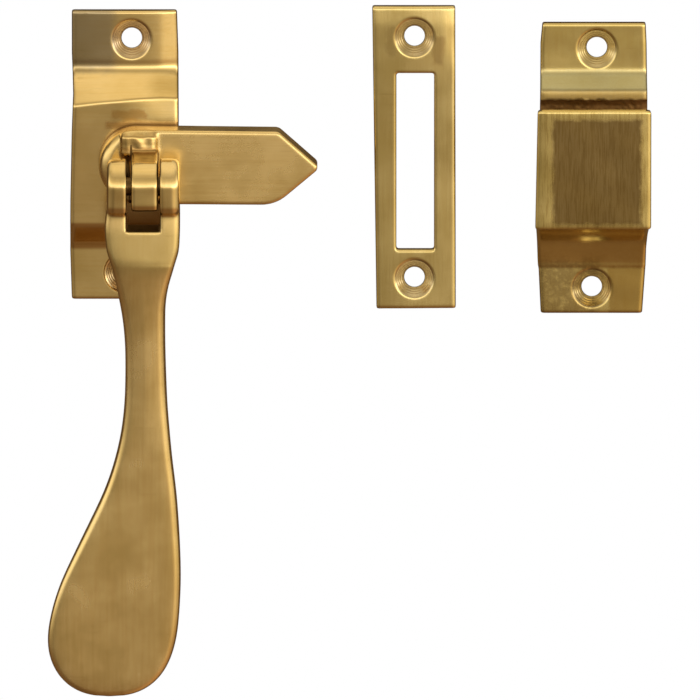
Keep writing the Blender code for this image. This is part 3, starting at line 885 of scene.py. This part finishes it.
def brass(name, tint, roughness, brush, brushing, lined=0.02, shade_and_finish_patches=(), holes=(), dressed=None):
    """Polished cast brass. brush holds the fineness of the brush lines along each axis. A patch is
    (spans, soft, wobble, tone, roughness, share); most patch tones are painted shade, painted
    highlight or painted reflection, the rest mark a change of finish or gloss. A hole is the centre
    of a countersink, and dressed is the box that was dressed with a file, where lines show strongly."""
    material = bpy.data.materials.new(name)
    material.use_nodes = True
    tree = material.node_tree
    tree.nodes.clear()
    link = tree.links.new
    out = add(tree, "ShaderNodeOutputMaterial")
    shader = add(tree, "ShaderNodeBsdfPrincipled", Metallic=1.0)
    link(shader.outputs["BSDF"], out.inputs["Surface"])
    where = add(tree, "ShaderNodeTexCoord").outputs["Object"]
    split = add(tree, "ShaderNodeSeparateXYZ")
    link(where, split.inputs["Vector"])

    cloud = noise_of(tree, where, CLOUD_SCALE, 4.0)
    mottle = noise_of(tree, where, MOTTLE_SCALE, 5.0, 0.65)
    fine = noise_of(tree, where, FINE_SCALE, 3.0, 0.6)
    stretch = add(tree, "ShaderNodeMapping")
    stretch.inputs["Scale"].default_value = brush
    link(where, stretch.inputs["Vector"])
    lines = noise_of(tree, stretch.outputs["Vector"], 1.0, 5.0, 0.65)
    slanted = add(tree, "ShaderNodeMapping")
    slanted.inputs["Rotation"].default_value = SCRATCH_TURN
    slanted.inputs["Scale"].default_value = SCRATCH_SCALE
    link(where, slanted.inputs["Vector"])
    scratches = eased_range(tree, noise_of(tree, slanted.outputs["Vector"], 1.0, 2.0), 0.66, 0.74)

    ramp = add(tree, "ShaderNodeValToRGB")
    for stop, position, tone in zip(ramp.color_ramp.elements, (0.30, 0.68), (DARKER, PALER)):
        stop.position = position
        stop.color = tuple(min(1.0, c * f) for c, f in zip(tint, tone)) + (1.0,)
    link(cloud, ramp.inputs["Fac"])
    colour = ramp.outputs["Color"]
    shade = 1.0 - 2.0 * lined
    dark_lines = eased_range(tree, lines, 0.56, 0.40)
    colour = toned(tree, colour, (shade, shade * 0.98, shade * 0.93), dark_lines)
    colour = toned(tree, colour, SCRATCH_TONE, scratches)

    blend = calculate(tree, "MULTIPLY", lines, 0.15)
    blend = calculate(tree, "ADD", blend, calculate(tree, "MULTIPLY", cloud, 0.85))
    gloss = eased_range(tree, blend, 0.30, 0.72, max(0.03, roughness - 0.04), roughness + 0.05)

    # patch tones paint shade, highlight or reflection into the colour where the real piece is shaded or
    # mirrors something; some patches only change gloss or finish
    for spans, soft, wobble, tone, rough, share in shade_and_finish_patches:
        mask = box_mask(tree, split, mottle, spans, soft, wobble)
        mask = calculate(tree, "MULTIPLY", mask, share)
        colour = toned(tree, colour, tone, mask)
        gloss = blended(tree, gloss, rough, mask)

    if dressed:
        mask = calculate(tree, "MULTIPLY", box_mask(tree, split, mottle, dressed, 0.5, 1.0), dark_lines)
        colour = toned(tree, colour, DRESSED_TONE, mask)

    rings = None
    for centre in holes:
        away = hole_distance(tree, split, centre)
        mask = eased_range(tree, away, (SCREW_HEAD_R + 0.15) * MM, (SCREW_HEAD_R - 0.15) * MM)
        colour = toned(tree, colour, COUNTERSINK_TONE, mask)
        gloss = blended(tree, gloss, COUNTERSINK_ROUGHNESS, mask)
        wave = calculate(tree, "SINE", calculate(tree, "MULTIPLY", away, RING_WAVES), 0.0)
        wave = calculate(tree, "MULTIPLY", wave, mask)
        rings = wave if rings is None else calculate(tree, "ADD", rings, wave)

    # hollows are toned darker and browner, the more concave the surface is
    hollow = add(tree, "ShaderNodeNewGeometry").outputs["Pointiness"]
    hollow_darkening = eased_range(tree, hollow, 0.485, 0.40, 0.0, 0.6)
    colour = toned(tree, colour, HOLLOWS_TONE, hollow_darkening)
    link(colour, shader.inputs["Base Color"])
    link(gloss, shader.inputs["Roughness"])

    height = calculate(tree, "SUBTRACT", lines, calculate(tree, "MULTIPLY", scratches, 0.6))
    brushed = add(tree, "ShaderNodeBump", Strength=brushing, Distance=0.00002)
    link(height, brushed.inputs["Height"])
    pitted = add(tree, "ShaderNodeBump", Strength=0.05, Distance=0.00003)
    link(fine, pitted.inputs["Height"])
    link(brushed.outputs["Normal"], pitted.inputs["Normal"])
    normal = pitted.outputs["Normal"]
    if rings is not None:
        ringed = add(tree, "ShaderNodeBump", Strength=0.5, Distance=0.00002)
        link(rings, ringed.inputs["Height"])
        link(normal, ringed.inputs["Normal"])
        normal = ringed.outputs["Normal"]
    link(normal, shader.inputs["Normal"])
    return material


def dress(piece, body, node, material):
    piece.data.materials.clear()
    piece.data.materials.append(material)
    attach(piece, body)
    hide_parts(node)


YELLOW = (0.92, 0.74, 0.40)
GREENISH = (0.92, 0.785, 0.42)
ALONG_X = (60.0, 2400.0, 2400.0)
ALONG_Z = (2400.0, 2400.0, 60.0)
FILED = (3200.0, 3200.0, 200.0)
EVERY_WAY = (700.0, 700.0, 700.0)
TURNED_MARKS = (900.0, 900.0, 900.0)
STRIP_MARKS = (500.0, 500.0, 500.0)

# (x span, height span, z span), softness, wandering, tone, roughness, share; most tones are painted
# shade, painted highlight or painted reflection
BACK_PAINTED_SHADE_PATCHES = (
    # painted shade: the upper left tab darker and cooler, as if mirroring something dark
    (((-16, -4.5), None, (18.5, 34)), 1.6, 3.0, (0.62, 0.66, 0.86), 0.20, 1.0),
    # painted shade over the bright reflection on the right part of the upper ramp
    (((3.0, 12), (3.3, 8.8), (13.0, 18.5)), 2.2, 2.0, (0.78, 0.76, 0.66), 0.20, 1.0),
    # painted shadow on the platform just above the tongue's top edge
    (((-5.2, 2.2), (8.0, 10), (8.8, 10.9)), 0.5, 3.0, (0.60, 0.50, 0.38), 0.26, 0.9),
    # painted shade: the platform around the tongue's hub a little darker, and glossier
    (((-16, 10), (8.0, 10), (-14, 8)), 2.0, 2.0, (0.90, 0.87, 0.86), 0.15, 1.0),
    # painted shade on the back plate behind the top of the handle
    (((-3.5, 7.0), None, (-20, -8)), 1.2, 2.0, (0.42, 0.36, 0.32), 0.30, 1.0),
    # painted shadow in the crevice along the tongue's top edge
    (((-6.5, 9.5), (8.0, 10), (7.0, 8.5)), 0.5, 0.6, (0.50, 0.40, 0.30), 0.30, 0.9),
)
TONGUE_SHADE_AND_GLOSS_PATCHES = (
    (((-4.0, 5.2), (17.2, 29.5), (-9.5, 9.0)), 0.4, 0.5, (1.0, 1.0, 1.0), 0.13, 1.0),
    # painted shade around the root of the lug, where it meets the tongue's face
    (((-3.5, 4.7), (16.3, 18.6), (-9.0, 4.5)), 0.4, 0.8, (0.55, 0.45, 0.35), 0.35, 0.8),
    # painted reflection: darker mottling on the hump
    (((-3.5, 4.7), (16.8, 22.0), (2.5, 9.0)), 0.6, 5.0, (0.66, 0.58, 0.46), 0.14, 0.6),
    # painted shade on the knuckle's left side, in the gap to the fork's cheek
    (((-1.3, -0.82), (17, 29), (-9, 5)), 0.10, 0.0, (0.20, 0.17, 0.14), 0.5, 0.9),
    # painted shade on the knuckle's right side, in the gap to the fork's cheek
    (((4.42, 4.9), (17, 29), (-9, 5)), 0.10, 0.0, (0.20, 0.17, 0.14), 0.5, 0.9),
    # painted shade on the underside of the knuckle
    (((-1.6, 5.2), (16.0, 27.0), (-10, -6.9)), 0.25, 0.3, (0.20, 0.16, 0.12), 0.4, 1.0),
    # painted shadow along the tongue's sides next to the back plate
    (((-9, 12), (9.0, 11.2), None), 0.7, 1.0, (0.30, 0.22, 0.16), 0.40, 0.9),
)
HANDLE_SHADE_AND_GLOSS_PATCHES = (
    # painted shade: the shoulder a little darker, toning down its reflection of the bright strip
    (((-10, 14), (20, 30), (-21, -11.5)), 1.6, 1.2, (0.85, 0.86, 0.82), 0.20, 1.0),
    ((None, (20, 29.5), (-9.4, 4)), 0.6, 0.5, (1.0, 1.0, 1.0), 0.12, 1.0),
    # painted shade inside the fork's slot
    (((-2.2, 5.25), (16, 27.6), (-12.0, 5.0)), 0.10, 0.0, (0.22, 0.18, 0.15), 0.42, 1.0),
)
MORTICE_SHADE_AND_HIGHLIGHT_PATCHES = (
    # painted highlight: the upper right a touch whiter, and hazier
    (((57, 70), None, (17, 36)), 3.0, 4.0, (1.0, 1.0, 1.05), 0.26, 0.6),
    # painted shade: the plate's left side a little darker
    (((48, 56), None, (-10, 20)), 2.0, 4.0, (0.94, 0.93, 0.90), 0.16, 0.7),
    # painted shade beside the upper countersink, on its left
    (((52.6, 54.6), None, (21.5, 27.5)), 0.7, 3.0, (0.66, 0.62, 0.58), 0.24, 0.7),
    # painted shade beside the upper countersink, on its right
    (((62.2, 64.6), None, (19.5, 25.5)), 0.7, 3.0, (0.66, 0.60, 0.56), 0.24, 0.8),
)
HOOK_SHADE_AND_FINISH_PATCHES = (
    # the roof's dressed middle, tarnished darker and rougher
    (((87.3, 106.0), (16.8, 19), (-12.0, 10.4)), 0.6, 1.8, (0.33, 0.29, 0.275), 0.34, 1.0),
    # painted pale sheen on the upper ramp, over a hazier finish
    ((None, (3.0, 6.8), (14.5, 18.7)), 0.5, 0.4, (0.64, 0.74, 1.00), 0.42, 1.0),
    # painted shade over the highlight along the crest's edge
    ((None, (5.9, 6.9), (12.3, 14.9)), 0.4, 0.5, (0.66, 0.62, 0.60), 0.34, 1.0),
    # the as-cast floor under the roof, redder and rougher, darkened further with painted shade under
    # the roof
    ((None, (5.0, 13.5), (-9.9, 12.75)), 0.15, 0.9, (0.30, 0.21, 0.18), 0.60, 1.0),
    # painted shade: the lower tab darker towards the left, mottled like a reflection
    (((84, 97), (2.0, 4.0), (-34, -22.5)), 1.6, 9.0, (0.46, 0.41, 0.38), 0.24, 1.0),
    # painted shade: the lower tab a little darker at the right
    (((99, 108), (2.0, 4.0), (-34, -23.5)), 0.5, 3.0, (0.70, 0.60, 0.46), 0.18, 0.9),
)
# painted shade on the pin where it lies inside the fork's slot
PIN_SHADE_PATCHES = ((((-1.98, 5.03), None, None), 0.15, 0.0, (0.25, 0.20, 0.16), 0.42, 0.9),)
ROOF_TOP = ((85.0, 107.5), (16.8, 19.0), (-12.8, 11.9))

plate_metal = brass("plate_polished", YELLOW, 0.13, ALONG_X, 0.05, 0.006, BACK_PAINTED_SHADE_PATCHES, BACK_HOLES)
tongue_metal = brass("tongue_satin", YELLOW, 0.26, ALONG_X, 0.12, 0.015, TONGUE_SHADE_AND_GLOSS_PATCHES)
handle_metal = brass("handle_satin", YELLOW, 0.24, ALONG_Z, 0.10, 0.012, HANDLE_SHADE_AND_GLOSS_PATCHES)
mortice_metal = brass(
    "mortice_polished", GREENISH, 0.16, ALONG_Z, 0.10, 0.02, MORTICE_SHADE_AND_HIGHLIGHT_PATCHES, MORTICE_HOLES
)
hook_metal = brass(
    "hook_polished", (0.92, 0.78, 0.38), 0.15, FILED, 0.12, 0.01, HOOK_SHADE_AND_FINISH_PATCHES, HOOK_HOLES, ROOF_TOP
)
pin_metal = brass("pin_drawn", (0.82, 0.66, 0.36), 0.28, ALONG_X, 0.30, 0.05, PIN_SHADE_PATCHES)
turned_metal = brass("spindle_turned", (0.84, 0.68, 0.38), 0.28, TURNED_MARKS, 0.25)
washer_metal = brass("washer_pressed", (0.85, 0.69, 0.39), 0.32, EVERY_WAY, 0.25)
spring_metal = brass("spring_bronze", (0.70, 0.48, 0.30), 0.26, STRIP_MARKS, 0.20)

dress(back_plate(), "plates", "back_plate", plate_metal)
dress(tongue(), "tongue_body", "tongue", tongue_metal)
dress(handle(), "handle_body", "handle", handle_metal)
dress(mortice_plate(), "plates", "mortice_plate", mortice_metal)
dress(hook_plate(), "plates", "hook_plate", hook_metal)
dress(knuckle_pin(), "handle_body", "knuckle_pin", pin_metal)
dress(pivot_spindle(), "tongue_body", "pivot_spindle", turned_metal)
dress(retaining_washer(), "tongue_body", "retaining_washer", washer_metal)
dress(spring_washer(), "plates", "spring_washer", spring_metal)


# ---------------------------------------------------------------- stage, light and camera
def floor():
    """A plain white floor, seen from above only, that lets the light of the tent through."""
    mesh = bpy.data.meshes.new("floor")
    reach = FLOOR_REACH
    corners = [(-reach, -reach), (reach, -reach), (reach, reach), (-reach, reach)]
    mesh.from_pydata([(a, b, FLOOR_Z) for a, b in corners], [], [(0, 1, 2, 3)])
    material = bpy.data.materials.new("floor_pale")
    material.use_nodes = True
    tree = material.node_tree
    tree.nodes.clear()
    out = add(tree, "ShaderNodeOutputMaterial")
    seen = add(tree, "ShaderNodeLightPath")
    choose = add(tree, "ShaderNodeMixShader")
    white = add(tree, "ShaderNodeEmission")
    white.inputs["Color"].default_value = (1.0, 1.0, 1.0, 1.0)
    unseen = add(tree, "ShaderNodeBsdfTransparent")
    under = add(tree, "ShaderNodeNewGeometry").outputs["Backfacing"]
    above = calculate(tree, "SUBTRACT", 1.0, under)
    shown = calculate(tree, "MULTIPLY", seen.outputs["Is Camera Ray"], above)
    tree.links.new(shown, choose.inputs["Fac"])
    tree.links.new(unseen.outputs["BSDF"], choose.inputs[1])
    tree.links.new(white.outputs["Emission"], choose.inputs[2])
    tree.links.new(choose.outputs["Shader"], out.inputs["Surface"])
    mesh.materials.append(material)
    placed("floor", mesh)


def ramp_of(tree, value, stops):
    """A colour ramp over values from -1 to 1."""
    spread_out = add(tree, "ShaderNodeMapRange")
    spread_out.inputs["From Min"].default_value = -1.0
    spread_out.inputs["From Max"].default_value = 1.0
    tree.links.new(value, spread_out.inputs["Value"])
    ramp = add(tree, "ShaderNodeValToRGB")
    elements = ramp.color_ramp.elements
    while len(elements) > 1:
        elements.remove(elements[-1])
    elements[0].position = (stops[0][0] + 1) / 2
    elements[0].color = tuple(stops[0][1]) + (1.0,)
    for position, colour in stops[1:]:
        elements.new((position + 1) / 2).color = tuple(colour) + (1.0,)
    tree.links.new(spread_out.outputs["Result"], ramp.inputs["Fac"])
    return ramp.outputs["Color"]


def grey(*levels):
    return [(position, (level,) * 3) for position, level in levels]


def warmed(stops):
    return [(at, tuple(c * w for c, w in zip(colour, WARMTH))) for at, colour in stops]


def studio():
    """A light tent: brown below, brightest just above eye height, dimmer higher up and bright again
    overhead. Behind the object it is dark but for the top. Low down it is brighter to the right."""
    world = bpy.data.worlds.new("studio")
    bpy.context.scene.world = world
    world.use_nodes = True
    tree = world.node_tree
    tree.nodes.clear()
    link = tree.links.new
    out = add(tree, "ShaderNodeOutputWorld")
    where = add(tree, "ShaderNodeTexCoord")
    split = add(tree, "ShaderNodeSeparateXYZ")
    link(where.outputs["Generated"], split.inputs["Vector"])
    up, side, back = split.outputs["Z"], split.outputs["X"], split.outputs["Y"]
    before = ramp_of(tree, up, warmed(FRONT_LIGHT))
    behind = ramp_of(tree, up, warmed(BACK_LIGHT))
    sides = ramp_of(tree, side, SIDE_LIGHT)

    shaded = add(tree, "ShaderNodeMix", data_type="RGBA", blend_type="MULTIPLY")
    link(eased_range(tree, up, *SIDES_FADE), shaded.inputs["Factor"])
    link(before, shaded.inputs["A"])
    link(sides, shaded.inputs["B"])

    around = add(tree, "ShaderNodeMix", data_type="RGBA")
    link(eased_range(tree, back, *BACK_FADE), around.inputs["Factor"])
    link(shaded.outputs["Result"], around.inputs["A"])
    link(behind, around.inputs["B"])

    light = add(tree, "ShaderNodeBackground")
    light.inputs["Strength"].default_value = LIGHT_LEVEL
    link(around.outputs["Result"], light.inputs["Color"])
    plain = add(tree, "ShaderNodeBackground")
    plain.inputs["Color"].default_value = (1.0, 1.0, 1.0, 1.0)
    seen = add(tree, "ShaderNodeLightPath")
    choose = add(tree, "ShaderNodeMixShader")
    link(seen.outputs["Is Camera Ray"], choose.inputs["Fac"])
    link(light.outputs["Background"], choose.inputs[1])
    link(plain.outputs["Background"], choose.inputs[2])
    link(choose.outputs["Shader"], out.inputs["Surface"])


def camera():
    data = bpy.data.cameras.new("camera")
    obj = placed("camera", data)
    elevation = math.radians(CAMERA_ELEVATION)
    direction = Vector((0.0, -math.cos(elevation), math.sin(elevation)))
    obj.location = Vector(CAMERA_AIM) + direction * CAMERA_AWAY
    obj.rotation_euler = direction.to_track_quat("Z", "Y").to_euler()
    data.sensor_width = SENSOR_WIDTH
    data.lens = CAMERA_SCALE * SENSOR_WIDTH * CAMERA_AWAY / MM / FRAME_WIDTH
    data.clip_end = CAMERA_REACH
    bpy.context.scene.camera = obj


FLOOR_Z = -0.17
FLOOR_REACH = 9.0

# CAMERA_AWAY is in metres, and CAMERA_SCALE is the frame's pixels to the millimetre
CAMERA_ELEVATION = 10.0
CAMERA_AWAY = 6.0
CAMERA_REACH = 30.0
CAMERA_SCALE = 4.75
CAMERA_AIM = (0.04484, 0.0, -0.04177)
SENSOR_WIDTH = 36.0
FRAME_WIDTH = 700

# light by height, as the sine of the elevation: in front of the object, then behind it
LIGHT_LEVEL = 1.0
BACK_FADE = (-0.15, 0.25)
WARMTH = (0.93, 0.76, 0.46)
FRONT_LIGHT = [
    (-1.0, (0.20, 0.135, 0.10)),
    (-0.50, (0.21, 0.145, 0.11)),
    (-0.28, (0.27, 0.23, 0.20)),
    (-0.17, (0.37, 0.36, 0.35)),
    (-0.07, (0.48, 0.48, 0.48)),
    (0.03, (0.95, 0.96, 1.0)),
    (0.09, (1.55, 1.65, 2.0)),
    (0.24, (1.60, 1.72, 2.1)),
    (0.38, (1.15, 1.17, 1.22)),
    (0.50, (0.78, 0.78, 0.78)),
    (0.72, (0.54, 0.54, 0.54)),
    (0.88, (0.74, 0.74, 0.75)),
    (1.0, (1.06, 1.06, 1.08)),
]
BACK_LIGHT = [
    (-1.0, (0.17, 0.110, 0.078)),
    (-0.30, (0.13, 0.09, 0.07)),
    (0.10, (0.09, 0.07, 0.06)),
    (0.35, (0.13, 0.12, 0.11)),
    (0.60, (0.52, 0.52, 0.53)),
    (0.80, (0.90, 0.90, 0.92)),
    (1.0, (1.06, 1.06, 1.08)),
]
# across the front below a height, by the sine of the angle from left to right
SIDES_FADE = (0.30, 0.02)
SIDE_LIGHT = grey(
    (-1.0, 0.9), (-0.50, 0.80), (-0.20, 0.62), (-0.06, 0.93), (0.03, 1.02), (0.12, 1.45),
    (0.24, 2.2), (0.50, 2.6), (1.0, 1.6)
)

floor()
studio()
camera()
bpy.context.scene.view_settings.view_transform = "Standard"
